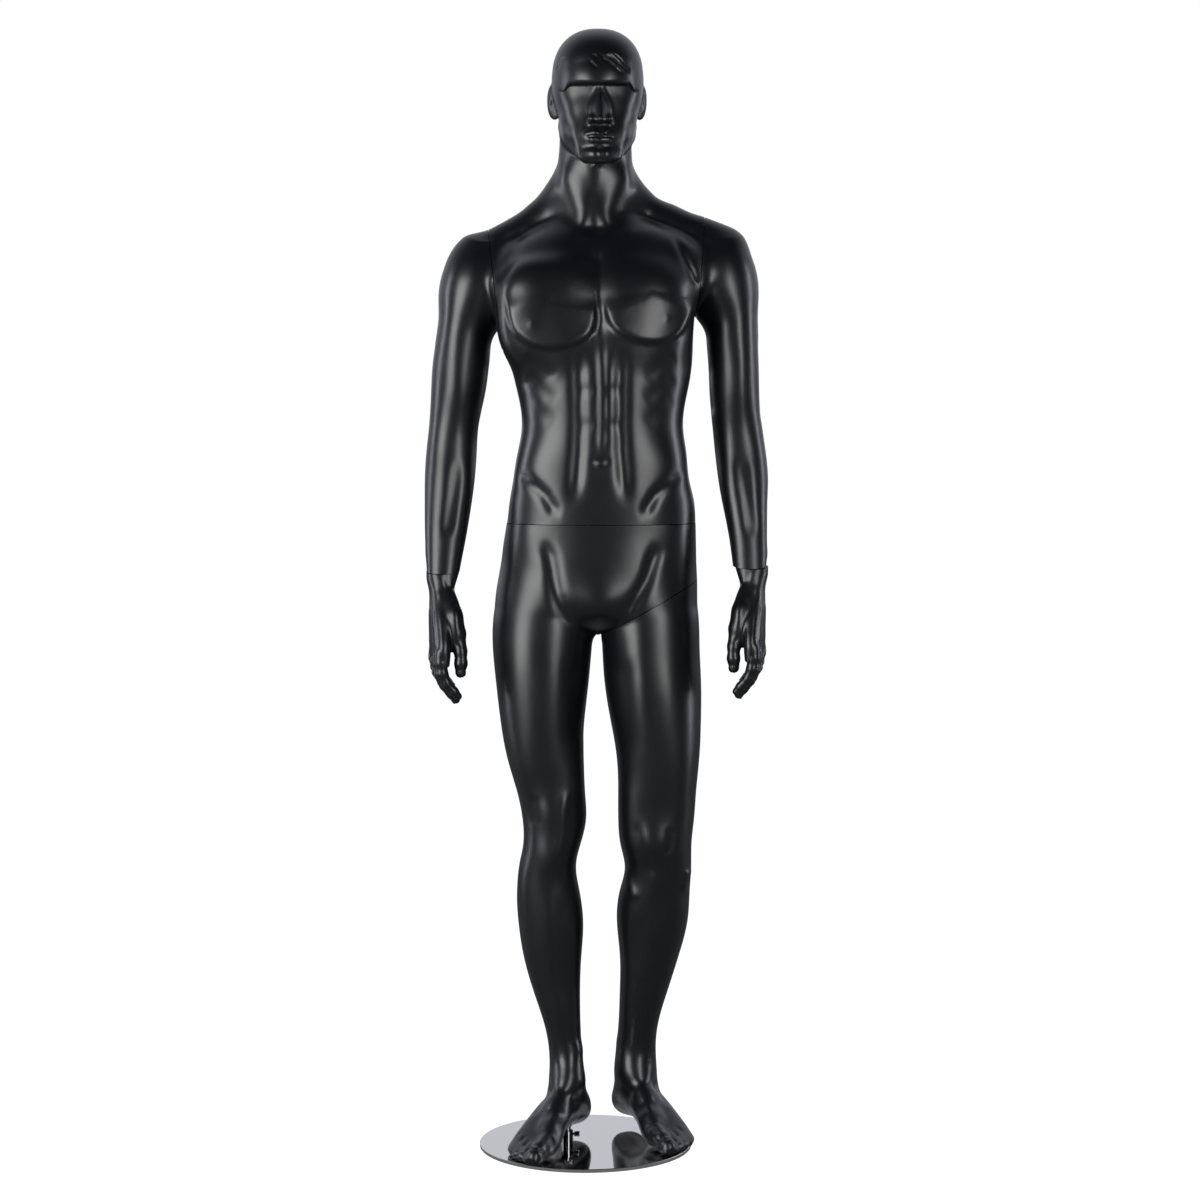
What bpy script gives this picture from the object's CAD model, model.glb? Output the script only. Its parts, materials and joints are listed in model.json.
"""Full body mannequin: sculpted shells, materials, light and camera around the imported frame.

The shells are sculpted as smooth fields in millimetres, measured from the figure's median plane, and
turned into meshes in metres in the row frame. The figure faces -Y and its left side is +X.
"""
import json
from functools import partial, reduce
from math import cos, pi, radians, sin

import bmesh
import bpy
import numpy as np
import openvdb
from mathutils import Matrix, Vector


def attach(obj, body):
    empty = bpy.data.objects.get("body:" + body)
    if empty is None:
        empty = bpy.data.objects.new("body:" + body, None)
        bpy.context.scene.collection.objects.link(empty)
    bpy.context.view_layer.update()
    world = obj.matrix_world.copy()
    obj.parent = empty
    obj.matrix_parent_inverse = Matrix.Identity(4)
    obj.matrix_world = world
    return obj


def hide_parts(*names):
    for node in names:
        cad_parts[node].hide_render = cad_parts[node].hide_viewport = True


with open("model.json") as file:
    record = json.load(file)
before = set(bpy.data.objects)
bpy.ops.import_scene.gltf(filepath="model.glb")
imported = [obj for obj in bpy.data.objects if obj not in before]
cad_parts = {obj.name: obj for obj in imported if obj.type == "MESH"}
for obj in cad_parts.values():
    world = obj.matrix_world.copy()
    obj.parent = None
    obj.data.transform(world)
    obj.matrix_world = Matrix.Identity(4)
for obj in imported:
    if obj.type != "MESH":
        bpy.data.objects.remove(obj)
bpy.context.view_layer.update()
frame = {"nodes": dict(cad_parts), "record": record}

MM = 0.001
MEDIAN_X = 24.0  # the figure's median plane in the row frame
SEAM_GAP = 1.0
SOLE_Z = 6.6  # the underside of the toes
FOOT_TOP_Z = 190.0
ARM_ROOT_Z = 1290.0  # above this an arm and the trunk are one surface, cut apart at the shoulder seam
FAR = 60.0  # what a field says where it isn't worked out
COARSE = 1.0


# ---- field toolkit: a field is negative inside, in millimetres ----
class Rows:
    """Smooth curves through rows of values; the first value of a row is where it stands."""

    STEP = 0.5

    def __init__(self, rows):
        table = np.array(sorted(rows), float)
        knots, values = table[:, 0], table[:, 1:]
        count = len(knots)
        gaps = np.diff(knots)
        system, right = np.eye(count), np.zeros_like(values)
        for i in range(1, count - 1):
            system[i, i - 1 : i + 2] = gaps[i - 1], 2 * (gaps[i - 1] + gaps[i]), gaps[i]
            slope_after = (values[i + 1] - values[i]) / gaps[i]
            right[i] = 6 * (slope_after - (values[i] - values[i - 1]) / gaps[i - 1])
        bend = np.linalg.solve(system, right)
        self.low, self.high = knots[0], knots[-1]
        fine = np.arange(self.low, self.high + self.STEP, self.STEP).clip(self.low, self.high)
        i = np.clip(np.searchsorted(knots, fine) - 1, 0, count - 2)
        h = gaps[i][:, None]
        a = (knots[i + 1] - fine)[:, None] / h
        b = 1 - a
        cubic = ((a**3 - a) * bend[i] + (b**3 - b) * bend[i + 1]) * h**2 / 6
        self.fine = (a * values[i] + b * values[i + 1] + cubic).astype(np.float32)

    def __call__(self, at):
        place = (np.clip(at, self.low, self.high) - self.low) / self.STEP
        i = np.minimum(place.astype(np.int32), len(self.fine) - 2)
        part = (place - i)[..., None]
        return np.moveaxis(self.fine[i] * (1 - part) + self.fine[i + 1] * part, -1, 0)


def exact(values):
    return np.asarray(values, np.float32)


def join(a, b, soft):
    """The union of two fields, blended over a soft width."""
    h = np.clip(0.5 + 0.5 * (b - a) / soft, 0, 1)
    return b + (a - b) * h - soft * h * (1 - h)


def trim(a, b, soft):
    """What is inside both fields, with a softened edge."""
    return -join(-a, -b, soft)


def rise(x):
    """0 below 0, 1 above 1 and smooth between."""
    x = np.clip(x, 0, 1)
    return x * x * x * (x * (6 * x - 15) + 10)


def turned(p, centre, turns):
    """Points seen from a centre, turned by degrees about X, then Y, then Z."""
    q = p - exact(centre)
    for axis, degrees in enumerate(turns):
        if degrees:
            c, s = np.float32(cos(radians(degrees))), np.float32(sin(radians(degrees)))
            i, j = (axis + 1) % 3, (axis + 2) % 3
            q = q.copy()
            q[:, i], q[:, j] = c * q[:, i] + s * q[:, j], c * q[:, j] - s * q[:, i]
    return q


def oval(p, centre, radii, turns=(0, 0, 0), power=2.0):
    """An ellipsoid, or with a higher power a boxier one."""
    q = np.abs(turned(p, centre, turns)) / exact(radii)
    size = np.linalg.norm(q * exact(radii), axis=1)
    g = (q**power).sum(1) ** (1 / power) + 1e-6
    return size * (1 - 1 / g)


def column(p, rows, power):
    """A limb of smooth outlines stacked up Z: right, left, front, back."""
    right, left, front, back = rows(p[:, 2])
    u, v = p[:, 0] - (left + right) / 2, p[:, 1] - (front + back) / 2
    across, deep = np.abs(2 * u / (left - right)), np.abs(2 * v / (back - front))
    g = (across**power + deep**power) ** (1 / power)
    d = np.hypot(u, v) * (1 - 1 / (g + 1e-6))
    return np.maximum(d, np.maximum(rows.low - p[:, 2], p[:, 2] - rows.high))


def rod(p, start, end, r_start, r_end):
    """A round tapered rod with ball ends."""
    start, end = exact(start), exact(end)
    along = end - start
    t = np.clip(((p - start) @ along) / (along @ along), 0, 1)
    return np.linalg.norm(p - start - t[:, None] * along, axis=1) - (r_start + t * (r_end - r_start))


def chain(p, points, soft):
    """Rods end to end; each point is x, y, z, radius."""
    d = rod(p, points[0][:3], points[1][:3], points[0][3], points[1][3])
    for a, b in zip(points[1:], points[2:]):
        d = join(d, rod(p, a[:3], b[:3], a[3], b[3]), soft)
    return d


def only(p, near, form, elsewhere=FAR):
    """A field worked out only at the points marked as near; the rest are given one value."""
    d = np.full(len(p), elsewhere, np.float32)
    if near.any():
        d[near] = form(p[near])
    return d


BELL_REACH = 3.6  # a bump or ridge has faded to nothing this many widths away


def bump(p, centre, radii, height, turns=(0, 0, 0)):
    """A soft swelling, or a hollow if its height is negative; it is taken off a field."""
    near = np.linalg.norm(p - exact(centre), axis=1) < BELL_REACH * max(radii)

    def swelling(some):
        q = turned(some, centre, turns) / exact(radii)
        return height * np.exp(-0.5 * (q * q).sum(1))

    return only(p, near, swelling, 0.0)


def seen_by(line, p):
    """The points in the line's own dimensions: a line of x and z is drawn on the front view."""
    return p[:, [0, 2]] if line.shape[1] == 2 else p


def to_line(p, line):
    """Distance from points to an open line, how far along it each lies, 0 to 1, and the nearest segment."""
    q = seen_by(line, p)
    lengths = np.linalg.norm(np.diff(line, axis=0), axis=1)
    best, where = np.full(len(q), 1e9, np.float32), np.zeros(len(q), np.float32)
    segment = np.zeros(len(q), int)
    done = 0.0
    for i, (a, b, length) in enumerate(zip(line, line[1:], lengths)):
        t = np.clip(((q - a) @ (b - a)) / length**2, 0, 1)
        d = np.linalg.norm(q - a - t[:, None] * (b - a), axis=1)
        near = d < best
        best[near] = d[near]
        where[near] = (done + t[near] * length) / lengths.sum()
        segment[near] = i
        done += length
    return best, where, segment


def smooth_line(points, steps=6):
    """A denser line through the same points, rounded between them."""
    rows = Rows([(i, *point) for i, point in enumerate(points)])
    return rows(np.linspace(0, len(points) - 1, steps * (len(points) - 1) + 1)).T


def beside(p, line, reach):
    """Marks the points inside a line's box, made larger by a reach."""
    q = seen_by(line, p)
    return ((q > line.min(0) - reach) & (q < line.max(0) + reach)).all(1)


def tapered(where, share):
    """1 along a line, fading to 0 over a share of its length at each end."""
    return rise(where / share) * rise((1 - where) / share)


SIDE_Y = 24.0  # splits the figure's front from its back
SIDE_FADE = 25.0


def on_side(p, front):
    """1 on the figure's front (True) or back (False), fading to 0 at its side."""
    ahead = (SIDE_Y - p[:, 1]) / SIDE_FADE
    return rise(ahead if front else -ahead)


def stroke(p, line, width, height, taper=True, front=None):
    """A ridge along a line, or a groove if its height is negative; front keeps it to -Y (True) or +Y."""
    line = exact(line)
    near = beside(p, line, BELL_REACH * width)
    if front is not None:
        near &= p[:, 1] < SIDE_Y if front else p[:, 1] > SIDE_Y

    def ridge(some):
        best, where, _ = to_line(some, line)
        d = height * np.exp(-0.5 * (best / width) ** 2)
        if front is not None:
            d *= on_side(some, front)
        return d * tapered(where, 0.25) if taper else d

    return only(p, near, ridge, 0.0)


def step_up(p, line, edge, height, fade):
    """A shelf on the front, on the left of a line (seen going along it): a crisp edge that fades away."""
    line = exact(line)
    near = beside(p, line, 4 * fade) & (p[:, 1] < SIDE_Y)

    def shelf(some):
        best, where, segment = to_line(some, line)
        start, along = line[segment], np.diff(line, axis=0)[segment]
        away = some[:, [0, 2]] - start
        signed = best * np.sign(along[:, 0] * away[:, 1] - along[:, 1] * away[:, 0])
        shape = rise(0.5 + signed / (2 * edge)) * np.exp(-np.maximum(signed, 0) / fade)
        return height * shape * tapered(where, 0.15) * on_side(some, True)

    return only(p, near, shelf, 0.0)


def marked(p, d, bumps=(), front=(), back=()):
    """A field with bumps (centre, radii, height) and front and back strokes (line, width, height)."""
    for centre, radii, height in bumps:
        d -= bump(p, centre, radii, height)
    for strokes, on_front in ((front, True), (back, False)):
        for line, width, height in strokes:
            d -= stroke(p, smooth_line(line), width, height, True, on_front)
    return d


# ---- outlines of the figure: height, right side, left side, front, back ----
TRUNK = Rows([
    (856, -30, 28, -10, 50), (866, -84, 80, -38, 92), (880, -132, 120, -62, 116), (905, -158, 146, -80, 130),
    (938, -162, 157, -85, 134), (971, -161, 158, -86, 128), (1004, -157, 157, -86, 117),
    (1032, -152, 156, -87, 106), (1070, -147, 153, -90, 94), (1110, -139, 143, -92, 85),
    (1150, -132, 139, -93, 83), (1195, -127, 135, -96, 88), (1264, -139, 146, -102, 104),
    (1330, -153, 151, -104, 120), (1380, -166, 157, -97, 127), (1425, -184, 184, -83, 127),
    (1465, -174, 182, -66, 118), (1490, -142, 154, -54, 106), (1512, -96, 106, -34, 94),
    (1535, -56, 50, -14, 84), (1555, -30, 20, 10, 60),
])
NECK = Rows([
    (1490, -72, 56, -34, 92), (1530, -70, 52, -34, 94), (1560, -70, 52, -33, 92),
    (1600, -67, 50, -35, 89), (1640, -63, 48, -38, 86), (1690, -58, 45, -30, 84),
])
RIGHT_LEG = Rows([
    (52, -70, -36, 20, 66), (66, -79, -28, 6, 82), (85, -83, -25, -2, 88),
    (115, -84, -27, -2, 82), (150, -85, -30, -3, 71), (190, -91, -32, -6, 61),
    (243, -107, -33, -14, 60), (310, -126, -31, -24, 68), (370, -135, -28, -34, 74),
    (420, -137, -35, -39, 70), (460, -132, -42, -43, 61), (500, -126, -33, -50, 57),
    (545, -127, -23, -51, 60), (590, -135, -26, -54, 66), (642, -150, -28, -63, 75),
    (708, -162, -25, -72, 87), (774, -170, -18, -77, 99), (820, -175, -14, -78, 109),
    (862, -176, -11, -77, 117), (905, -170, -12, -70, 112), (950, -154, -24, -50, 94),
    (1000, -124, -50, -30, 60),
])
LEFT_LEG = Rows([
    (52, 40, 78, 72, 120), (66, 29, 90, 56, 134), (85, 26, 95, 48, 139),
    (115, 26, 95, 46, 132), (150, 28, 94, 44, 119), (190, 31, 98, 36, 106),
    (243, 33, 112, 22, 99), (310, 33, 132, 2, 101), (370, 28, 146, -14, 103),
    (420, 33, 149, -24, 96), (460, 41, 151, -32, 82), (500, 34, 151, -42, 74),
    (545, 31, 155, -46, 74), (590, 31, 158, -52, 77), (642, 28, 163, -62, 83),
    (708, 17, 166, -72, 91), (774, 7, 166, -76, 101), (820, 4, 164, -76, 110),
    (862, 2, 163, -75, 117), (905, 3, 158, -68, 112), (950, 20, 142, -48, 92),
    (1000, 50, 116, -30, 60),
])
RIGHT_ARM = Rows([
    (900, -285, -236, -36, 4), (954, -283, -229, -27, 15), (1004, -286, -220, -18, 36),
    (1069, -287, -211, -6, 62), (1110, -287, -206, 2, 80), (1150, -285, -203, 10, 92),
    (1190, -281, -200, 9, 96), (1240, -278, -189, 1, 97), (1300, -274, -181, -6, 98),
    (1345, -267, -177, -12, 100), (1385, -262, -166, -17, 102), (1420, -255, -145, -18, 103),
    (1450, -236, -150, -8, 96), (1480, -205, -160, 10, 80),
])
LEFT_ARM = Rows([
    (900, 226, 271, -36, 4), (954, 218, 271, -27, 15), (1004, 212, 273, -18, 36), (1069, 201, 273, -6, 62),
    (1110, 194, 274, 2, 80), (1150, 189, 271, 10, 92), (1190, 185, 266, 9, 96), (1240, 180, 263, 1, 97),
    (1300, 177, 261, -6, 98), (1345, 174, 259, -12, 100), (1385, 170, 258, -17, 102),
    (1420, 150, 254, -18, 103), (1450, 150, 242, -8, 96), (1480, 160, 216, 10, 80),
])
# The slopes from neck to shoulder, as chains of x, y, z and radius.
SHOULDER_SLOPES = [
    [
        (-30, 52, 1584, 34), (-60, 50, 1547, 34), (-99, 48, 1513, 32), (-143, 44, 1486, 31),
        (-200, 44, 1471, 28),
    ],
    [(12, 52, 1584, 34), (46, 50, 1547, 34), (111, 46, 1510, 33), (163, 44, 1491, 32), (205, 44, 1481, 29)],
]
OUTLINE_POWER = 2.15  # how boxy the outlines of the limbs and the head are


def arm_form(p, side):
    """One arm with its deltoid; side is -1 for the figure's right."""
    rows, shoulder = (RIGHT_ARM, (-199, 44, 1419)) if side < 0 else (LEFT_ARM, (194, 44, 1431))
    return join(column(p, rows, OUTLINE_POWER), oval(p, shoulder, (59, 63, 80), power=2.1), 24)


def neck_form(p):
    """Neck and the slopes down to the shoulders."""
    d = column(p, NECK, 1.95)
    for line in SHOULDER_SLOPES:
        d = join(d, chain(p, line, 30), 42)
    return d


def trunk_form(p):
    """Trunk and neck, without the arms."""
    z = p[:, 2]
    d = only(p, z < 1600, lambda some: column(some, TRUNK, 2.3))
    return join(d, only(p, z > 1400, neck_form), 26)


def figure(p):
    """Trunk, neck and the tops of the arms."""
    d = trunk_form(p)
    soft = 5 + 15 * rise((p[:, 2] - 1375) / 60)
    for side in (-1, 1):
        near = (p[:, 2] > 1280) & (p[:, 2] < 1560) & (side * p[:, 0] > 90)
        arm = only(p, near, lambda some: np.maximum(arm_form(some, side), ARM_ROOT_Z - some[:, 2]))
        d = join(d, arm, soft)
    return d


# ---- turning a field into a mesh ----
def sculpt(field, heights):
    """Meshes a field on a grid that changes size on the way up.

    Each row of heights is a z, the mesh step there, the grid's centre x and y, and its half widths.
    """
    plan = np.array(heights, float)
    levels, z = [], plan[0, 0]
    while z < plan[-1, 0]:
        levels.append(z)
        z += np.interp(z, plan[:, 0], plan[:, 1]) * COARSE
    levels = np.array(levels, np.float32)
    step, x0, y0, half_x, half_y = (np.interp(levels, plan[:, 0], values) for values in plan[:, 1:].T)
    step = step * COARSE
    reach_x, reach_y = int((half_x / step).max()) + 2, int((half_y / step).max()) + 2
    i, j = np.arange(-reach_x, reach_x + 1), np.arange(-reach_y, reach_y + 1)
    values = np.full((len(i), len(j), len(levels)), 4, np.float32)
    for k, level in enumerate(levels):
        use_i, use_j = np.abs(i) * step[k] <= half_x[k], np.abs(j) * step[k] <= half_y[k]
        x, y = np.meshgrid(x0[k] + i[use_i] * step[k], y0[k] + j[use_j] * step[k], indexing="ij")
        points = np.column_stack([x.ravel(), y.ravel(), np.full(x.size, level)]).astype(np.float32)
        values[np.ix_(use_i, use_j, [k])] = (field(points) / step[k]).reshape(*x.shape, 1)
    values = np.clip(values, -4, 4)
    values[[0, -1]], values[:, [0, -1]], values[:, :, [0, -1]] = 4, 4, 4
    grid = openvdb.FloatGrid(4.0)
    grid.copyFromArray(values)
    spots, quads = grid.convertToQuads(0.0)
    at = np.arange(len(levels))
    k = spots[:, 2]
    size = np.interp(k, at, step)
    verts = np.column_stack([
        np.interp(k, at, x0) + (spots[:, 0] - reach_x) * size,
        np.interp(k, at, y0) + (spots[:, 1] - reach_y) * size,
        np.interp(k, at, levels),
    ]).astype(np.float32)
    return verts, quads[:, ::-1]


def slope(field, verts, h=0.4):
    """The field at the points and its gradient."""
    value = field(verts)
    grad = np.empty_like(verts)
    for axis in range(3):
        shift = np.zeros(3, np.float32)
        shift[axis] = h
        grad[:, axis] = (field(verts + shift) - field(verts - shift)) / (2 * h)
    return value, grad


def settle(field, verts, rounds, reach=3.0):
    """Moves points onto the field's surface."""
    for _ in range(rounds):
        value, grad = slope(field, verts)
        size = np.maximum((grad * grad).sum(1), 0.05)
        move = (value / size)[:, None] * grad
        length = np.linalg.norm(move, axis=1, keepdims=True)
        verts = verts - move * np.minimum(1, reach / (length + 1e-6))
    return verts


def relax(verts, quads, rounds, amount=0.5):
    """Evens out a mesh by moving each point towards its neighbours."""
    edges = np.concatenate([quads[:, [a, (a + 1) % 4]] for a in range(4)])
    for _ in range(rounds):
        total = np.zeros_like(verts)
        count = np.zeros(len(verts), np.float32)
        for a, b in ((0, 1), (1, 0)):
            np.add.at(total, edges[:, a], verts[edges[:, b]])
            np.add.at(count, edges[:, a], 1)
        verts = verts + amount * (total / count[:, None] - verts)
    return verts


def build(name, form, finish, heights):
    """A finished mesh: form gives the masses, finish adds the fine shape."""
    verts, quads = sculpt(form, heights)
    verts = settle(form, verts, 2)
    for _ in range(2):
        verts = relax(verts, quads, 2)
        verts = settle(finish, verts, 2)
    verts = settle(finish, verts, 1)
    mesh = bpy.data.meshes.new(name)
    world = (verts + np.array([MEDIAN_X, 0, 0])) * MM
    mesh.from_pydata(world.tolist(), [], quads.tolist())
    mesh.validate()
    piece = bpy.data.objects.new(name, mesh)
    bpy.context.scene.collection.objects.link(piece)
    mesh.shade_smooth()
    return piece


# ---- head ----
HEAD_CENTRE, HEAD_TURN = (-4.0, 8.0, 1740.0), (0, 0, 2.5)
HEAD_BLOCK = Rows([
    (1612, -20, 20, -92, -40), (1620, -30, 30, -97, -14), (1630, -40, 40, -100, 14),
    (1641, -49, 49, -103, 38), (1652, -56, 56, -104, 54), (1670, -61, 61, -101, 72),
    (1700, -65, 65, -97, 88), (1735, -67, 67, -94, 98), (1765, -58, 58, -82, 88),
    (1785, -36, 36, -54, 56),
])
JAW = [(50, 14, 1672, 12), (47, 4, 1657, 12), (22, -74, 1624, 13), (0, -82, 1622, 13)]
NOSE = Rows([
    (1660, -16, 16, -106, -60), (1672, -18.5, 18.5, -114, -58), (1681, -16.5, 16.5, -111, -57),
    (1692, -17.5, 17.5, -106, -50), (1706, -15.5, 15.5, -99, -48), (1722, -11, 11, -89, -46),
    (1742, -8, 8, -82, -46),
])
# The face's front plane: height, how far forward it is at the middle, how fast it falls away sideways.
FACE = Rows([
    (1600, -98, 0.012), (1622, -98, 0.011), (1634, -93, 0.0095), (1648, -95, 0.0085),
    (1660, -93, 0.0076), (1675, -88, 0.0076), (1692, -83, 0.0080), (1710, -80, 0.0070),
    (1731, -80, 0.0062), (1760, -80, 0.0062),
])
BROW_Z = 1731.0
UPPER_LIP = [(0, -96, 1652.5, 4), (8, -95.5, 1654.5, 4.4), (20, -89.5, 1652.5, 3.4), (28, -82, 1650, 1.5)]
LOWER_LIP = [(0, -95, 1644, 5.2), (12, -92.5, 1644.5, 4.6), (22, -86.5, 1647.5, 2.8), (27, -82, 1649.5, 1.3)]
LIPS_PARTING = [
    (-27, 1648.5), (-14, 1649.5), (-4, 1649.8), (0, 1648.6), (4, 1649.8), (14, 1649.5), (27, 1648.5),
]
# Swellings of both halves of the face: eye hollow, cheekbone, chin, cheek hollow and nostril.
FACE_BUMPS = [
    ((29, -84, 1722), (15, 14, 9), -2.5), ((42, -66, 1695), (13, 14, 11), 2.5),
    ((9, -97, 1622), (7, 9, 7), 1.6), ((46, -52, 1664), (11, 20, 17), -4.0),
    ((8, -98, 1669), (4.5, 6, 4), -3.0),
]
EAR_RIM = [(5, -9, 14), (6, 1, 21), (6, 10, 12), (5, 11, -4)]
# Moulded strands of hair on the forehead and temple: a line and how deep it is.
HAIR = [
    ([(6, 1780), (20, 1771), (34, 1758), (44, 1748)], 2.2),
    ([(11, 1782), (25, 1772), (39, 1758), (48, 1748)], 1.8),
    ([(1, 1774), (14, 1766), (27, 1755), (38, 1747)], 1.6),
    ([(18, 1784), (31, 1773), (44, 1759), (51, 1749)], 1.4),
    ([(-6, 1783), (4, 1775), (17, 1765), (29, 1756)], 1.4),
    ([(-12, 1780), (-4, 1772)], 1.6),
    ([(-18, 1769), (-10, 1761), (-3, 1755)], 1.4),
    ([(-54, 1780), (-62, 1771), (-67, 1758)], 1.6),
]


def head_view(p):
    """Points in the head's own directions: x is across the face from its middle."""
    q = turned(p, HEAD_CENTRE, HEAD_TURN)
    q[:, 1:] += exact(HEAD_CENTRE[1:])
    return q


def mirrored(q):
    """The same points with their right side folded over the left."""
    m = q.copy()
    m[:, 0] = np.abs(m[:, 0])
    return m


def ear_view(m):
    return turned(m, (70, 18, 1714), (14, 0, -32))


def skull_form(q, m):
    """Skull and jaw, cut back to the face's front plane below the brow."""
    x, y, z = m.T
    d = join(oval(q, (0, 8, 1750), (73.5, 98, 79), power=2.3), column(q, HEAD_BLOCK, OUTLINE_POWER), 14)
    d = join(d, chain(m, JAW, 6), 12)
    middle, spread = FACE(z)
    in_front = np.maximum(y - (middle + spread * x * x), z - (BROW_Z - 12 * rise((x - 44) / 16)))
    return trim(d, -in_front, 10)


def nose_form(q, m):
    """Nose with its wings, cut off underneath on a slant."""
    d = join(column(q, NOSE, 1.4), oval(m, (13.5, -94, 1676), (7, 11, 7.5)), 5)
    return trim(d, 1670.5 - q[:, 2] - 0.15 * (q[:, 1] + 100), 5)


def head_form(p):
    q = head_view(p)
    m = mirrored(q)
    d = join(skull_form(q, m), oval(m, (0, -78, 1651), (28, 19, 22)), 8)  # with the muzzle
    d = join(d, nose_form(q, m), 7)
    d = join(d, oval(m, (0, -81, 1622), (25, 16, 14)), 7)  # chin
    return join(d, oval(ear_view(m), (0, 0, 0), (6, 18, 29), power=2.2), 4)


def head_finish(p, d):
    """Lips, eye hollows, cheeks, chin, ears and hair."""
    q = head_view(p)
    m = mirrored(q)
    d = join(d, join(chain(m, UPPER_LIP, 2), chain(m, LOWER_LIP, 2), 1.5), 2.5)
    d -= stroke(q, LIPS_PARTING, 1.3, -2.8, True, True)
    d = marked(m, d, FACE_BUMPS)
    d -= stroke(q, [(0, 1666), (0, 1658)], 2.4, -1.6, False, True)  # groove under the nose
    d -= stroke(q, [(0, 1636), (0, 1608)], 5, -1.8, True, True)  # cleft of the chin
    ear = ear_view(m)
    d -= bump(ear, (5, -4, -3), (5, 6, 10), -4.5)
    d -= stroke(ear, EAR_RIM, 2.0, -2.4)
    for line, depth in HAIR:
        d -= stroke(q, line, 1.5, -depth, True, True) * (q[:, 1] < -20)
    return d


# ---- trunk details ----
def both(line):
    """A front-view line and its mirror image."""
    return [line, [(-x, z) for x, z in line][::-1]]


# The lower edge of each breast muscle.
PEC_EDGES = [
    [
        (-153, 1405), (-149, 1384), (-141, 1349), (-122, 1327), (-91, 1315), (-50, 1318), (-22, 1331),
        (-7, 1357), (-4, 1400),
    ],
    [
        (4, 1400), (6, 1388), (16, 1354), (40, 1334), (74, 1324), (109, 1327), (133, 1344), (150, 1378),
        (154, 1405),
    ],
]
PECS = [(-82, 83, 2.7), (54, 90, 2.2)]  # middle x, half width and boxiness of each breast muscle
# The neck's two front cords, from behind the ear to the collar bone.
NECK_CORDS = [
    [(-47, 28, 1660, 13), (-41, 0, 1590, 14), (-20, -23, 1522, 11)],
    [(33, 28, 1660, 13), (26, 0, 1590, 14), (2, -23, 1522, 11)],
]
BREASTBONE = [(-5, 1480), (-2, 1400), (1, 1320)]
# Lines on the trunk, each with a width and a height: breastbone, midline of the belly, edges of the belly
# muscles, groins, collar bones, and the edges of both breast muscles towards the shoulders.
TRUNK_STROKES = [
    (BREASTBONE, 15, -5.0),
    (BREASTBONE, 4.5, -3.0),
    ([(2, 1345), (4, 1232), (3, 1166), (1, 1130)], 5.0, -3.2),
    *((line, 8, -5.0) for line in both([(34, 1335), (33, 1232), (34, 1150), (44, 1050)])),
    *((line, 7, -4.5) for line in both([(-138, 1120), (-113, 1100), (-88, 1079), (-75, 1058), (-56, 1050)])),
    *((line, 8, 2.0) for line in both([(-160, 1500), (-112, 1508), (-60, 1502), (-24, 1498)])),
    ([(116, 1506), (127, 1480), (160, 1408)], 4.5, -4.5),
    ([(-118, 1518), (-140, 1472), (-166, 1416)], 8, -3.5),
]
SPINE = ([(-4, 1540), (-2, 1300), (0, 1040), (2, 985)], 9, -8.0)
# Navel and the hollow of the throat.
TRUNK_BUMPS = [((1, -96, 1133), (6.5, 14, 4.5), -5), ((-10, -42, 1512), (11, 14, 13), -8)]
NIPPLES = [(-108, -112, 1352), (106, -112, 1362)]


def trunk_masses(p, d):
    """Adds the breast muscles and the neck's cords."""
    low = p[:, 2] < 1520
    for x, wide, square in PECS:
        pec = only(p, low, lambda some: oval(some, (x, -48, 1373), (wide, 59, 88), power=square))
        d = join(d, pec, 36)
    for cord in NECK_CORDS:
        d = join(d, chain(p, cord, 20), 20)
    return d


def trunk_finish(p, d):
    """Breast, belly, ribs, groins, collar bones, back and spine."""
    for line in PEC_EDGES:
        d -= step_up(p, smooth_line(line, 4), 7, 7, 42)
    d = marked(p, d, TRUNK_BUMPS, TRUNK_STROKES, [SPINE])
    for x in (-1, 1):
        for z in (1246, 1190):
            d -= stroke(p, [(6 * x, z), (36 * x, z + 3)], 7, -1.2, True, True)
        d -= bump(p, (112 * x, -48, 1128), (26, 40, 24), 5)
        d -= bump(p, (88 * x, 125, 1395), (38, 30, 50), 6, (0, 12 * x, 0))
        d -= bump(p, (62 * x, 110, 1150), (26, 30, 90), 4)
    for z, depth in ((1262, 1.6), (1226, 1.6), (1190, 1.2)):
        for rib in both([(-124, z + 44), (-96, z + 26), (-70, z)]):
            d -= stroke(p, rib, 9, -depth, True, True)
    for nipple in NIPPLES:
        d -= bump(p, nipple, (9, 30, 9), 0.8) + bump(p, nipple, (2.6, 30, 2.6), 1.8)
    return d


# Lines where the thighs meet the hips, and the cleft behind.
HIP_LINES = [
    ([(-96, 1015), (-80, 980), (-74, 940), (-64, 902), (-46, 880), (-32, 872)], 8, -5.0),
    ([(98, 1010), (85, 975), (75, 945), (60, 916), (46, 892), (34, 880)], 8, -5.0),
]
CLEFT = ([(0, 1010), (2, 960), (3, 900), (2, 850)], 6, -16.0)
# The plain swelling of the crotch, then the hip bones.
HIP_BUMPS = [
    ((2, -82, 893), (27, 40, 34), 9), ((-122, -55, 1030), (22, 40, 28), 4),
    ((122, -55, 1030), (22, 40, 28), 4),
]


# ---- upper body ----
def upper_form(p):
    """Head, neck, trunk and the roots of the arms."""
    d = only(p, p[:, 2] < 1700, lambda some: trunk_masses(some, figure(some)))
    return join(d, only(p, p[:, 2] > 1570, head_form), 10)


def upper_finish(p):
    d = upper_form(p)
    high, low = p[:, 2] > 1590, p[:, 2] < 1600
    d[high] = head_finish(p[high], d[high])
    d[low] = trunk_finish(p[low], d[low])
    return d


# ---- arms: marks are given for the left arm, from its middle line outwards ----
ARM_X = 224
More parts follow.
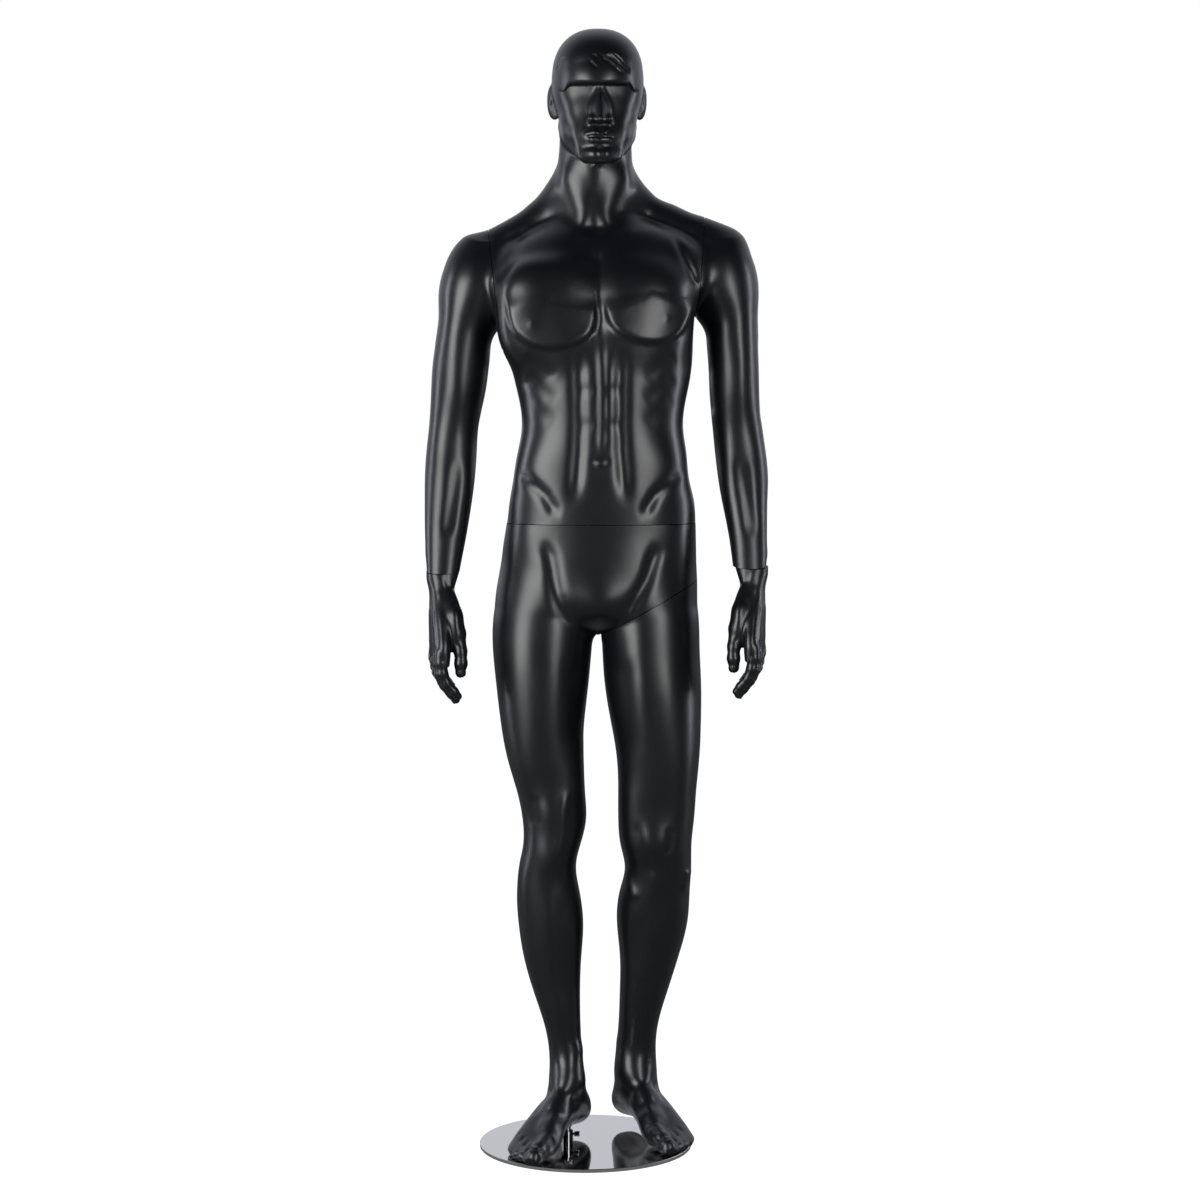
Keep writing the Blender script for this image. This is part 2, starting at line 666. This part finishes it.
# Front and back of the upper arm, its inner back, elbow, both forearm muscles and the wrist bone.
ARM_BUMPS = [
    ((8, -8, 1270), (17, 26, 58), 4.5), ((22, 92, 1300), (20, 22, 62), 4.5),
    ((-14, 96, 1285), (18, 22, 55), 3.0), ((8, 100, 1168), (13, 16, 17), 4.5),
    ((34, 20, 1118), (18, 26, 52), 4.5), ((-22, -2, 1105), (22, 24, 44), 4.0),
    ((52, 14, 978), (9, 11, 11), 3.0),
]
# Grooves between the muscles: outer and inner upper arm, then the forearm's front and back.
ARM_GROOVES = [
    ([(34, 40, 1340), (36, 44, 1240), (32, 46, 1180)], 8, -3.2),
    ([(-36, 36, 1300), (-36, 40, 1200)], 9, -3.0),
    ([(4, 0, 1150), (16, -4, 1070), (26, -18, 1000)], 7, -3.0),
    ([(24, 88, 1140), (38, 40, 1040), (44, 8, 985)], 6, -1.8),
]


def whole_arm_form(p, side):
    """An arm that goes over into the trunk above its root."""
    d = arm_form(p, side)
    high = p[:, 2] > ARM_ROOT_Z
    d[high] = trunk_masses(p[high], figure(p[high]))
    return d


def arm_finish(p, side):
    """Biceps, triceps, elbow and forearm muscles."""
    d = whole_arm_form(p, side)
    high = p[:, 2] > ARM_ROOT_Z
    d[high] = trunk_finish(p[high], d[high])
    from_middle = p * exact([side, 1, 1]) - exact([ARM_X, 0, 0])
    d = marked(from_middle, d, ARM_BUMPS)
    for line, width, height in ARM_GROOVES:
        d -= stroke(from_middle, line, width, height)
    return d


# ---- hands: points are palmward, forward of the wrist and up from it ----
HAND_TURN = 14.0  # how far the palms are turned back from facing the thighs
PALM = Rows([
    (-152, -15, 3, -8, 66), (-138, -20, 5, -13, 68), (-120, -23, 6, -15, 68), (-98, -23, 8, -16, 60),
    (-75, -23, 11, -17, 50), (-50, -22, 15, -18, 36), (-28, -21, 19, -19, 27), (0, -24, 28, -19, 23),
    (24, -27, 32, -26, 21),
])
THUMB = [
    (3, 20, -42, 15), (11, 34, -72, 15.5), (17, 44, -100, 13), (20, 50, -128, 10.6), (20.5, 51, -148, 10.2),
    (20, 50, -163, 8.4),
]
# The ball of the thumb, the web beside it and the heel of the hand: centre, radii.
PALM_PADS = [((8, 26, -70), (15, 17, 34)), ((12, 42, -92), (13, 17, 37)), ((4, -2, -85), (12, 14, 34))]
# From first to little finger: forward, how much shorter than the longest, radius.
FINGERS = [(58, 7, 9.4), (39, 0, 9.6), (19.5, 5, 9.2), (1.5, 20, 8.2)]
KNUCKLE_Z = -128
# Along a finger: towards the palm, up from the wrist, how thick it is for its radius.
FINGER = [
    (-11, KNUCKLE_Z, 1.08), (-13, -148, 1.03), (-11, -166, 0.98), (-4, -184, 0.88), (8, -199, 0.8),
    (15, -208, 0.68),
]
HANDS = {-1: (-258.0, -4.0, 954.0), 1: (249.0, -4.0, 962.0)}


def hand_view(p, side):
    """Points seen in a hand's own directions."""
    x0, y0, z0 = HANDS[side]
    c, s = cos(radians(HAND_TURN)), sin(radians(HAND_TURN))
    inward, back = -side * (p[:, 0] - x0), p[:, 1] - y0
    return np.column_stack([inward * c + back * s, inward * s - back * c, p[:, 2] - z0]).astype(np.float32)


def finger_line(forward, short, radius):
    """One finger as a chain; the fingers draw together a little towards their tips."""
    reach = 1 - short / 80
    return [
        (toward, 30 + (forward - 30) * (1 - 0.02 * i), KNUCKLE_Z + (up - KNUCKLE_Z) * reach, radius * thick)
        for i, (toward, up, thick) in enumerate(FINGER)
    ]


def hand_form(p, side):
    h = hand_view(p, side)
    d = column(h, PALM, 2.5)
    for finger in FINGERS:
        d = join(d, chain(h, finger_line(*finger), 3), 2.5)
    for centre, radii in PALM_PADS:
        d = join(d, oval(h, centre, radii), 10)
    return join(d, chain(h, THUMB, 5), 8)


def nail(h, tip, before, dorsal, width, length):
    """A nail lying on the back of a fingertip; dorsal says which way the back faces."""
    tip, before, dorsal = (exact(v) for v in (tip, before, dorsal))
    along = (tip[:3] - before[:3]) / np.linalg.norm(tip[:3] - before[:3])
    up = dorsal - (dorsal @ along) * along
    up /= np.linalg.norm(up)
    q = h - (tip[:3] + up * (tip[3] - 0.9) - 0.5 * along)
    local = np.column_stack([q @ along, q @ np.cross(along, up), q @ up])
    return oval(local.astype(np.float32), (0, 0, 0), (length, width, 1.9), power=2.6)


# Second thumb joint, hollow of the wrist, wrist bone and hollow of the palm.
HAND_BUMPS = [
    ((25, 60, -138), (6, 4, 5), 1.0), ((2, 32, -36), (7, 8, 15), -3.0), ((-25, -2, -14), (8, 11, 12), 3.5),
    ((10, 30, -105), (9, 14, 26), -3.5),
]
# The thumb's two tendons.
THUMB_TENDONS = [
    ([(-10, 18, 0), (4, 27, -40), (18, 54, -98)], 3.4, 2.2),
    ([(8, 24, -8), (18, 36, -50), (28, 54, -92)], 3.2, 1.6),
]


def hand_finish(p, side):
    """Nails, knuckles, tendons and the creases between the fingers."""
    d = hand_form(p, side)
    h = hand_view(p, side)
    lines = [finger_line(*finger) for finger in FINGERS]
    for line, (_, _, radius) in zip(lines, FINGERS):
        base, middle, end = line[0], line[2], line[4]
        d = join(d, nail(h, line[-1], line[-2], (-1, 0, 0), 0.62 * radius, 0.72 * radius), 0.8)
        d -= bump(h, (-21, base[1], -133), (5, 6, 9), 3.0)
        d -= bump(h, (middle[0] - 8, middle[1], middle[2] - 2), (5, 5, 6), 1.2)
        d -= bump(h, (end[0] - 7, end[1], end[2] + 1), (4, 4.5, 5), 0.8)
        tendon = [(-22, 6 + 0.35 * base[1], -52), (-23, 0.7 * base[1] + 4, -95), (-22, base[1], -130)]
        d -= stroke(h, tendon, 2.6, 1.5)
    for a, b in zip(lines, lines[1:]):
        toward, forward = (a[1][0] + b[1][0]) / 2 - 8, (a[1][1] + b[1][1]) / 2
        d -= stroke(h, [(toward, forward, -136), (toward, forward, -152)], 2.0, -2.2)
    d = join(d, nail(h, THUMB[-1], THUMB[-2], (0.35, 1, 0), 6.0, 7.5), 0.8)
    for line, width, height in THUMB_TENDONS:
        d -= stroke(h, line, width, height)
    return marked(h, d, HAND_BUMPS)


# ---- feet: points are across (the big toe's side positive), along from the heel, and up ----
FOOT = Rows([
    (2, -15, 13, 34, 60), (18, -28, 24, 25, 76), (48, -33, 28, 23, 84), (85, -34, 31, 27, 84),
    (120, -36, 34, 24, 74), (155, -39, 39, 14, 58), (185, -41, 43, 8, 42), (204, -39, 42.5, 7.5, 33),
    (220, -32, 41, 7.5, 28), (235, -15, 40, 8, 25), (250, 5, 38.5, 8.5, 22), (259, 15, 35, 10, 19),
])
INSTEP = [(12, 72, 152, 11), (12, 88, 108, 17), (10, 124, 68, 15), (17, 166, 42, 13), (25, 205, 24, 12)]
# From big toe to little toe: across, how far forward the tip reaches, radius.
TOES = [(25, 262, 14.0), (2, 248, 8.0), (-11.5, 238, 7.4), (-23.5, 225, 7.2), (-34.5, 208, 7.4)]
TOE_GAPS = (8.8, -4.8, -17.9, -29.6)  # how far across the grooves between the toes are
# Where each foot's heel is: x, y and how far the foot is turned.
FEET = {-1: (-28.7, 87.1, -24.0), 1: (33.7, 148.0, 24.0)}
# Arch, both ankle bones, and the hollows beside the heel cord.
FOOT_BUMPS = [
    ((40, 118, 24), (17, 38, 17), -6), ((30, 66, 100), (12, 16, 18), 3), ((-31, 52, 88), (12, 16, 18), 3),
    ((-24, 22, 108), (9, 12, 30), -5), ((24, 22, 108), (9, 12, 30), -5),
]


def foot_view(p, side):
    """Points seen in a foot's own directions."""
    x0, y0, turn = FEET[side]
    c, s = cos(radians(turn)), sin(radians(turn))
    x, y = p[:, 0] - x0, p[:, 1] - y0
    return np.column_stack([-side * (x * c + y * s), x * s - y * c, p[:, 2]]).astype(np.float32)


def toe_line(across, reach, radius):
    """One toe as a chain, a little spread towards its tip."""
    spread = 1.05 * across
    return [
        (0.96 * across, reach - 58, radius + 17, 1.05 * radius),
        (across, reach - 36, radius + 12, 0.96 * radius),
        (spread, reach - 20, radius + 6.5, 0.92 * radius),
        (spread, reach - radius, SOLE_Z + 0.96 * radius, 0.96 * radius),
    ]


def foot_form(p, side):
    f = foot_view(p, side)
    stood = np.column_stack([f[:, 0], f[:, 2], f[:, 1]])
    d = column(stood, FOOT, 2.35)
    d = join(d, chain(f, INSTEP, 24), 12)
    toes = [chain(f, toe_line(*toe), 4) for toe in TOES]
    d = join(d, reduce(lambda a, b: join(a, b, 4), toes), 7)
    return trim(d, SOLE_Z + 0.3 - p[:, 2], 3)


def foot_finish(p, d, side):
    """Toenails, tendons, the grooves between the toes, arch and ankle bones."""
    f = foot_view(p, side)
    for across, reach, radius in TOES:
        before, (x, y, z, _) = toe_line(across, reach, radius)[-2:]
        d = join(d, nail(f, (x, y, z + 0.5, radius), before, (0, 0, 1), 0.62 * radius, 0.6 * radius), 0.7)
        tendon = [(0.15 * across + 2, 100, 92), (0.6 * across + 3, 150, 62), (0.95 * across, reach - 60, 36)]
        d -= stroke(f, smooth_line(tendon, 3), 4.5, 1.8 if across > 0 else 0.8)
    for gap, (_, reach, _) in zip(TOE_GAPS, TOES):
        groove = [(0.95 * gap, reach - 46, 40), (gap, reach - 28, 24), (gap, reach - 10, 12)]
        d -= stroke(f, groove, 2.4, -3.2)
    return marked(f, d, FOOT_BUMPS)


# ---- lower body and left leg ----
LEG_TOP_Z = 812.0  # the lower body keeps this much of the left thigh, to be cut at the seam
# Muscles and joints that stand out on each leg: kneecap, the muscles above the knee, the shin bone's head
# and the two calf muscles, then the hollow of the knee and the outer thigh.
RIGHT_LEG_BUMPS = [
    ((-80, -54, 562), (19, 22, 22), 5.5), ((-42, -30, 612), (16, 30, 36), 6),
    ((-122, -28, 640), (16, 40, 52), 4), ((-80, -46, 480), (10, 14, 18), 3),
    ((-50, 10, 442), (14, 26, 30), 4), ((-122, 8, 462), (12, 20, 22), 4),
    ((-56, 72, 410), (24, 22, 62), 6), ((-108, 70, 425), (24, 22, 60), 5),
    ((-82, 64, 552), (22, 18, 26), -5), ((-150, -30, 760), (22, 34, 90), 3),
]
# Edges of the kneecap, shin bone, the groove beside it and the long muscle of the inner thigh.
RIGHT_LEG_FRONT = [
    ([(-48, 606), (-57, 580), (-61, 548), (-65, 515), (-74, 470)], 5.5, 2.6),
    ([(-104, 594), (-109, 566), (-102, 536)], 6, -1.8),
    ([(-84, 455), (-82, 360), (-70, 240), (-58, 150)], 9, 2.0),
    ([(-62, 440), (-56, 330), (-48, 220)], 10, -2.0),
    ([(-38, 830), (-44, 740), (-38, 660)], 12, -3),
]
# The parting of the calf and the two tendons behind the knee.
RIGHT_LEG_BACK = [
    ([(-82, 500), (-82, 380), (-68, 300)], 7, -4),
    ([(-52, 640), (-44, 585), (-40, 540)], 6, 3.5),
    ([(-112, 650), (-118, 590), (-122, 540)], 6, 3.5),
]
# The same for the left leg.
LEFT_LEG_BUMPS = [
    ((88, -46, 512), (20, 22, 24), 5.5), ((48, -26, 570), (16, 30, 38), 5.5),
    ((130, -26, 610), (16, 40, 52), 4), ((94, -36, 440), (11, 14, 20), 3),
    ((62, 98, 380), (24, 22, 62), 6), ((116, 96, 395), (24, 22, 60), 5),
    ((92, 78, 512), (22, 18, 26), -5), ((66, -62, 800), (18, 26, 90), 3),
]
LEFT_LEG_FRONT = [
    ([(60, 552), (64, 515), (75, 488), (90, 448)], 5.5, -2.4),
    ([(112, 540), (116, 514), (106, 488)], 4.5, -2.4),
    ([(40, 466), (47, 436), (61, 408)], 6, 2.4),
    ([(150, 466), (144, 440), (134, 424)], 5, 3),
    ([(92, 410), (84, 320), (70, 230), (62, 150)], 9, 2.0),
    ([(66, 400), (54, 300), (48, 210)], 10, -2.0),
    ([(36, 830), (44, 740), (46, 640)], 12, -3),
]
LEFT_LEG_BACK = [
    ([(90, 460), (90, 350), (76, 280)], 7, -4),
    ([(62, 600), (54, 545), (50, 500)], 6, 3.5),
    ([(122, 610), (130, 550), (134, 500)], 6, 3.5),
]


def hips_form(p):
    """Trunk, buttocks and both thighs above the crotch, one surface for both sides of the thigh seam."""
    legs = np.minimum(column(p, RIGHT_LEG, OUTLINE_POWER), column(p, LEFT_LEG, OUTLINE_POWER))
    d = join(trunk_form(p), legs, 26)
    near = (p[:, 2] > 800) & (p[:, 2] < 1080) & (p[:, 1] > -20)
    for side in (-1, 1):
        d = join(d, only(p, near, lambda some: oval(some, (4 + 77 * side, 76, 938), (72, 58, 76))), 22)
    return d


def leg_form(p, side):
    """A leg with its foot, going over into the hips above the crotch."""
    d = column(p, RIGHT_LEG if side < 0 else LEFT_LEG, OUTLINE_POWER)
    high, foot = p[:, 2] >= LEG_TOP_Z, p[:, 2] < FOOT_TOP_Z
    d[high] = hips_form(p[high])
    d[foot] = join(d[foot], foot_form(p[foot], side), 22)
    return d


def leg_finish(p, d, side, marks):
    """Hip lines, the leg's own marks, and the foot."""
    high, low, foot = p[:, 2] > 780, p[:, 2] < 1000, p[:, 2] < FOOT_TOP_Z
    d[high] = marked(p[high], d[high], HIP_BUMPS, HIP_LINES, [CLEFT])
    d[low] = marked(p[low], d[low], *marks)
    d[foot] = foot_finish(p[foot], d[foot], side)
    return d


def lower_form(p):
    return leg_form(p, -1)


def lower_finish(p):
    d = leg_finish(p, lower_form(p), -1, (RIGHT_LEG_BUMPS, RIGHT_LEG_FRONT, RIGHT_LEG_BACK))
    tall = p[:, 2] > 960
    d[tall] = trunk_finish(p[tall], d[tall])
    return d


def left_form(p):
    """The left leg, kept off the right one above the crotch."""
    d = leg_form(p, 1)
    high = p[:, 2] >= LEG_TOP_Z
    d[high] = np.maximum(d[high], 2.5 - p[high, 0])
    return d


def left_finish(p):
    return leg_finish(p, left_form(p), 1, (LEFT_LEG_BUMPS, LEFT_LEG_FRONT, LEFT_LEG_BACK))


# ---- seams: where each lies, which way it faces, and its end boards' radius ----
SEAMS = {
    "waist": ((1, 14, 1032), (0, 0, 1), 62.0),
    "right_shoulder": ((-172, 42, 1428), (1, 0, 0.13), 40.0),
    "left_shoulder": ((163, 42, 1432), (-1, 0, 0.08), 40.0),
    "right_wrist": ((-257, -4, 954), (0, -0.2, 1), 15.0),
    "left_wrist": ((248, -4, 962), (0, -0.2, 1), 15.0),
    "left_thigh": ((84, 20, 897), (-0.486, 0, 0.874), 50.0),
}
POCKET_DEPTH = 12.6
POCKET_GAP = 0.15  # between a pocket's wall and its end board
CIRCLE_POINTS = 72
ARM_ROOT_CUT = (ARM_ROOT_Z - 6) * MM  # the shoulder cuts reach down to just below the arm's root


def to_row(point):
    """A point in millimetres from the median plane, in metres in the row frame."""
    return Vector((point[0] + MEDIAN_X, point[1], point[2])) * MM


def close_end(bm, rim, centre, out, radius):
    """Fills a cut end flat, with a round pocket for its end board. Gives its faces and its sharp edges."""
    side = out.orthogonal().normalized()
    up = out.cross(side)
    angles = [2 * pi * i / CIRCLE_POINTS for i in range(CIRCLE_POINTS)]
    wide = (radius + POCKET_GAP) * MM
    ring = [bm.verts.new(centre + (side * cos(a) + up * sin(a)) * wide) for a in angles]
    circle = [bm.edges.new((ring[i - 1], ring[i])) for i in range(CIRCLE_POINTS)]
    cap = bmesh.ops.triangle_fill(bm, edges=rim + circle, use_beauty=True, normal=out)["geom"]
    wall = bmesh.ops.extrude_edge_only(bm, edges=circle)["geom"]
    deep = [v for v in wall if isinstance(v, bmesh.types.BMVert)]
    bmesh.ops.translate(bm, verts=deep, vec=-out * POCKET_DEPTH * MM)
    inner = [e for e in wall if isinstance(e, bmesh.types.BMEdge)]
    floor = bmesh.ops.contextual_create(bm, geom=inner)["faces"]
    flat = [f for f in [*cap, *wall, *floor] if isinstance(f, bmesh.types.BMFace)]
    return flat, rim + circle


def cut(piece, seam, keep, near):
    """Cuts what is near a seam there and closes the end; keep is 1 for the side that the seam faces."""
    centre, facing, radius = SEAMS[seam]
    out = -keep * Vector(facing).normalized()
    centre = to_row(centre) - out * SEAM_GAP / 2 * MM
    bm = bmesh.new()
    bm.from_mesh(piece.data)
    faces = [face for face in bm.faces if near(face.calc_center_median())]
    edges = {edge for face in faces for edge in face.edges}
    verts = {vert for face in faces for vert in face.verts}
    result = bmesh.ops.bisect_plane(
        bm, geom=faces + list(edges | verts), dist=1e-7, plane_co=centre, plane_no=out, clear_outer=True
    )
    rim = [e for e in result["geom_cut"] if isinstance(e, bmesh.types.BMEdge) and e.is_boundary]
    flat, sharp = close_end(bm, rim, centre, out, radius)
    bmesh.ops.recalc_face_normals(bm, faces=bm.faces)
    for part in flat + sharp:
        part.smooth = False
    bm.to_mesh(piece.data)
    bm.free()


def finish_piece(piece, body, node):
    piece.data.materials.append(BLACK)
    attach(piece, body)
    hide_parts(node)


# How fine each piece's grid is and where it lies; sculpt says what a row holds.
UPPER_PLAN = [
    (1022, 3.8, 0, 10, 230, 140), (1300, 4.0, 0, 10, 230, 140), (1480, 4.0, 0, 20, 240, 130),
    (1560, 3.2, -5, 20, 160, 110), (1605, 1.9, -5, 5, 100, 115), (1745, 1.9, -5, 0, 92, 118),
    (1840, 2.2, -5, 0, 92, 118),
]
LOWER_PLAN = [
    (0, 2.1, -50, -28, 130, 150), (110, 2.2, -60, -10, 120, 140), (200, 3.4, -70, 20, 80, 90),
    (760, 4.4, -92, 20, 105, 130), (806, 4.4, -15, 20, 200, 140), (1042, 4.6, 0, 20, 200, 140),
]
LEFT_PLAN = [
    (0, 2.1, 90, 25, 110, 155), (110, 2.2, 80, 50, 100, 140), (200, 3.4, 68, 60, 85, 100),
    (780, 4.4, 86, 20, 105, 130), (960, 4.4, 86, 20, 108, 140),
]
ARM_PLAN = [(940, 3.4, 0, 20, 62, 90), (1280, 4.0, 0, 40, 95, 110), (1530, 4.2, 0, 40, 105, 110)]
HAND_PLAN = [(-228, 1.5, 10, -30, 60, 58), (-60, 1.7, 0, -20, 60, 60), (25, 2.2, 0, -5, 48, 48)]


def moved_plan(plan, x, z=0.0):
    """A plan with its middle moved across and up."""
    return [(low + z, step, x + middle, *rest) for low, step, middle, *rest in plan]


def upper_body_piece():
    piece = build("upper_body", upper_form, upper_finish, UPPER_PLAN)
    cut(piece, "waist", 1, lambda place: place.z < 1.1)
    cut(piece, "right_shoulder", 1, lambda place: place.z > ARM_ROOT_CUT and place.x < -0.05)
    cut(piece, "left_shoulder", 1, lambda place: place.z > ARM_ROOT_CUT and place.x > 0.1)
    finish_piece(piece, "upper_body", "upper_body_shell")


def arm_piece(side, name):
    form, finish = partial(whole_arm_form, side=side), partial(arm_finish, side=side)
    piece = build(f"{name}_arm", form, finish, moved_plan(ARM_PLAN, ARM_X * side))
    cut(piece, f"{name}_shoulder", -1, lambda place: place.z > ARM_ROOT_CUT)
    cut(piece, f"{name}_wrist", 1, lambda place: place.z < 1.05)
    finish_piece(piece, f"{name}_arm", f"{name}_arm_shell")


def hand_piece(side, name):
    form, finish = partial(hand_form, side=side), partial(hand_finish, side=side)
    x0, _, z0 = HANDS[side]
    piece = build(f"{name}_hand_cast", form, finish, moved_plan(HAND_PLAN, x0 - 6 * side, z0))
    cut(piece, f"{name}_wrist", -1, lambda place: place.z > 0.9)
    finish_piece(piece, f"{name}_hand_body", f"{name}_hand")


def lower_body_piece():
    piece = build("lower_body", lower_form, lower_finish, LOWER_PLAN)
    cut(piece, "waist", -1, lambda place: place.z > 1.0)
    crotch = (MEDIAN_X - 4) * MM
    cut(piece, "left_thigh", 1, lambda place: place.x > crotch and 0.8 < place.z < 0.99)
    finish_piece(piece, "lower_body", "lower_body_shell")


def left_leg_piece():
    piece = build("left_leg", left_form, left_finish, LEFT_PLAN)
    cut(piece, "left_thigh", -1, lambda place: place.z > 0.8)
    finish_piece(piece, "left_leg", "left_leg_shell")


# ---- materials ----
def add_node(tree, kind, **values):
    """A shader node with its inputs set or linked; an underscore in a name stands for a space."""
    node = tree.nodes.new(f"ShaderNode{kind}")
    for name, value in values.items():
        socket = node.inputs[name.replace("_", " ")]
        if isinstance(value, bpy.types.NodeSocket):
            tree.links.new(value, socket)
        else:
            socket.default_value = value
    return node


def new_material(name, color, roughness, metallic=0.0):
    material = bpy.data.materials.new(name)
    material.use_nodes = True
    shader = material.node_tree.nodes["Principled BSDF"]
    shader.inputs["Base Color"].default_value = (*color, 1)
    shader.inputs["Roughness"].default_value = roughness
    shader.inputs["Metallic"].default_value = metallic
    return material, material.node_tree, shader


def noise(tree, scale, detail=3.0, stretch=(1, 1, 1)):
    """A noise texture over the object's own place, in metres."""
    place = add_node(tree, "TexCoord").outputs["Object"]
    mapped = add_node(tree, "Mapping", Vector=place, Scale=stretch).outputs["Vector"]
    return add_node(tree, "TexNoise", Vector=mapped, Scale=scale, Detail=detail).outputs["Fac"]


def spread_to(tree, value, low, high):
    """Maps a noise of 0.3 to 0.7 onto low to high."""
    node = add_node(tree, "MapRange", Value=value, From_Min=0.3, From_Max=0.7, To_Min=low, To_Max=high)
    return node.outputs["Result"]


def add_bump(tree, shader, value, strength, distance):
    node = add_node(tree, "Bump", Height=value, Strength=strength, Distance=distance)
    tree.links.new(node.outputs["Normal"], shader.inputs["Normal"])


def black_lacquer():
    """Satin-gloss black paint: faint orange peel and slightly uneven polish."""
    material, tree, shader = new_material("black_lacquer", (0.0030, 0.0038, 0.0052), 0.3)
    shader.inputs["IOR"].default_value = 1.5
    tree.links.new(spread_to(tree, noise(tree, 9.0), 0.29, 0.36), shader.inputs["Roughness"])
    add_bump(tree, shader, noise(tree, 900.0, 1.0), 0.05, 0.0004)
    return material


def polished_steel():
    material, tree, shader = new_material("polished_steel", (0.73, 0.71, 0.69), 0.04, 1.0)
    tree.links.new(spread_to(tree, noise(tree, 30.0), 0.03, 0.07), shader.inputs["Roughness"])
    return material


def metal(name, color, roughness, grain, bumps):
    """A metal with uneven polish; grain stretches its marks along X."""
    material, tree, shader = new_material(name, color, roughness, 1.0)
    marks = noise(tree, 220.0, 4.0, (1, 1 / grain, 1 / grain))
    tree.links.new(spread_to(tree, marks, 0.8 * roughness, 1.3 * roughness), shader.inputs["Roughness"])
    add_bump(tree, shader, marks, bumps, 0.0002)
    return material


def painted_board():
    material, tree, shader = new_material("painted_board", (0.022, 0.022, 0.024), 0.55)
    add_bump(tree, shader, noise(tree, 60.0, 6.0, (1, 8, 8)), 0.35, 0.001)
    return material


BLACK = black_lacquer()
STEEL = polished_steel()
CHROME = metal("dark_chrome", (0.16, 0.16, 0.17), 0.16, 1, 0.02)
ZINC = metal("zinc_plate", (0.5, 0.5, 0.52), 0.32, 6, 0.15)
SCREW = metal("screw_steel", (0.45, 0.45, 0.46), 0.25, 1, 0.1)
BOARD = painted_board()


# ---- floor, light and camera ----
def pale_floor():
    """A white floor. Only the camera sees it at full brightness, so that it doesn't wash out the black."""
    bpy.ops.mesh.primitive_plane_add(size=200)
    floor = bpy.context.object
    floor.name = "floor"
    material, tree, shader = new_material("pale_floor", (0.12, 0.12, 0.12), 0.95)
    shader.inputs["Emission Color"].default_value = (1, 1, 1, 1)
    by_camera = add_node(tree, "LightPath").outputs["Is Camera Ray"]
    glow = add_node(tree, "MapRange", Value=by_camera, To_Min=0.04, To_Max=0.97)
    tree.links.new(glow.outputs["Result"], shader.inputs["Emission Strength"])
    floor.data.materials.append(material)


FIGURE_MIDDLE = Vector((0.02, 0, 1.0))


def area_light(name, place, width, height, power, color=(1, 1, 1)):
    """A rectangular light that faces the middle of the figure."""
    data = bpy.data.lights.new(name, "AREA")
    data.shape = "RECTANGLE"
    data.size, data.size_y = width, height
    data.energy = power
    data.color = color
    light = bpy.data.objects.new(name, data)
    bpy.context.scene.collection.objects.link(light)
    light.location = place
    light.rotation_euler = (FIGURE_MIDDLE - Vector(place)).to_track_quat("-Z", "Y").to_euler()


def studio_room():
    """A white background; the room that the lacquer reflects is dark in front and pale behind."""
    world = bpy.data.worlds.new("studio")
    bpy.context.scene.world = world
    world.use_nodes = True
    tree = world.node_tree
    tree.nodes.clear()
    way = add_node(tree, "TexCoord").outputs["Generated"]
    back = add_node(tree, "SeparateXYZ", Vector=way).outputs["Y"]
    ramp = add_node(tree, "MapRange", Value=back, From_Min=-0.15, From_Max=0.75, To_Min=0.02, To_Max=0.75)
    ramp.interpolation_type = "SMOOTHSTEP"
    room = add_node(tree, "Background", Color=(0.88, 0.91, 1, 1), Strength=ramp.outputs["Result"])
    seen = add_node(tree, "Background", Color=(1, 1, 1, 1))
    mix = add_node(tree, "MixShader", Fac=add_node(tree, "LightPath").outputs["Is Camera Ray"])
    tree.links.new(room.outputs["Background"], mix.inputs[1])
    tree.links.new(seen.outputs["Background"], mix.inputs[2])
    add_node(tree, "OutputWorld", Surface=mix.outputs["Shader"])


def studio_lights():
    """Two softboxes in front and two narrow strips that draw the figure's sides."""
    cool = (0.9, 0.94, 1)
    area_light("left_softbox", (-2.3, -2.3, 1.45), 1.8, 2.4, 112)
    area_light("right_softbox", (1.6, -2.85, 1.5), 0.9, 2.2, 50)
    area_light("left_strip", (-2.8, 0.5, 1.3), 0.4, 2.4, 26, cool)
    area_light("right_strip", (2.8, 0.5, 1.3), 0.4, 2.4, 26, cool)


def photo_camera():
    data = bpy.data.cameras.new("camera")
    data.lens = 86.42
    data.sensor_width = 36.0
    camera = bpy.data.objects.new("camera", data)
    bpy.context.scene.collection.objects.link(camera)
    camera.location = (MEDIAN_X * MM, -4.7, 1.25)
    camera.rotation_euler = (radians(90 - 4.19), 0, 0)
    bpy.context.scene.camera = camera


def dress_cad_nodes():
    """Gives every CAD node that still shows a finished material."""
    looks = {
        "polished_plate": STEEL, "chrome_fittings": CHROME, "zinc_steel": ZINC, "screw_steel": SCREW,
        "end_board": BOARD,
    }
    slots = {part["node"]: part["material_slot"] for part in frame["record"]["subparts"]}
    for name, node in frame["nodes"].items():
        look = looks.get(slots.get(name))
        if look:
            for place in node.material_slots:
                place.material = look


upper_body_piece()
lower_body_piece()
left_leg_piece()
for side, name in ((-1, "right"), (1, "left")):
    arm_piece(side, name)
    hand_piece(side, name)
dress_cad_nodes()

bpy.context.scene.view_settings.view_transform = "Standard"
pale_floor()
studio_room()
studio_lights()
photo_camera()
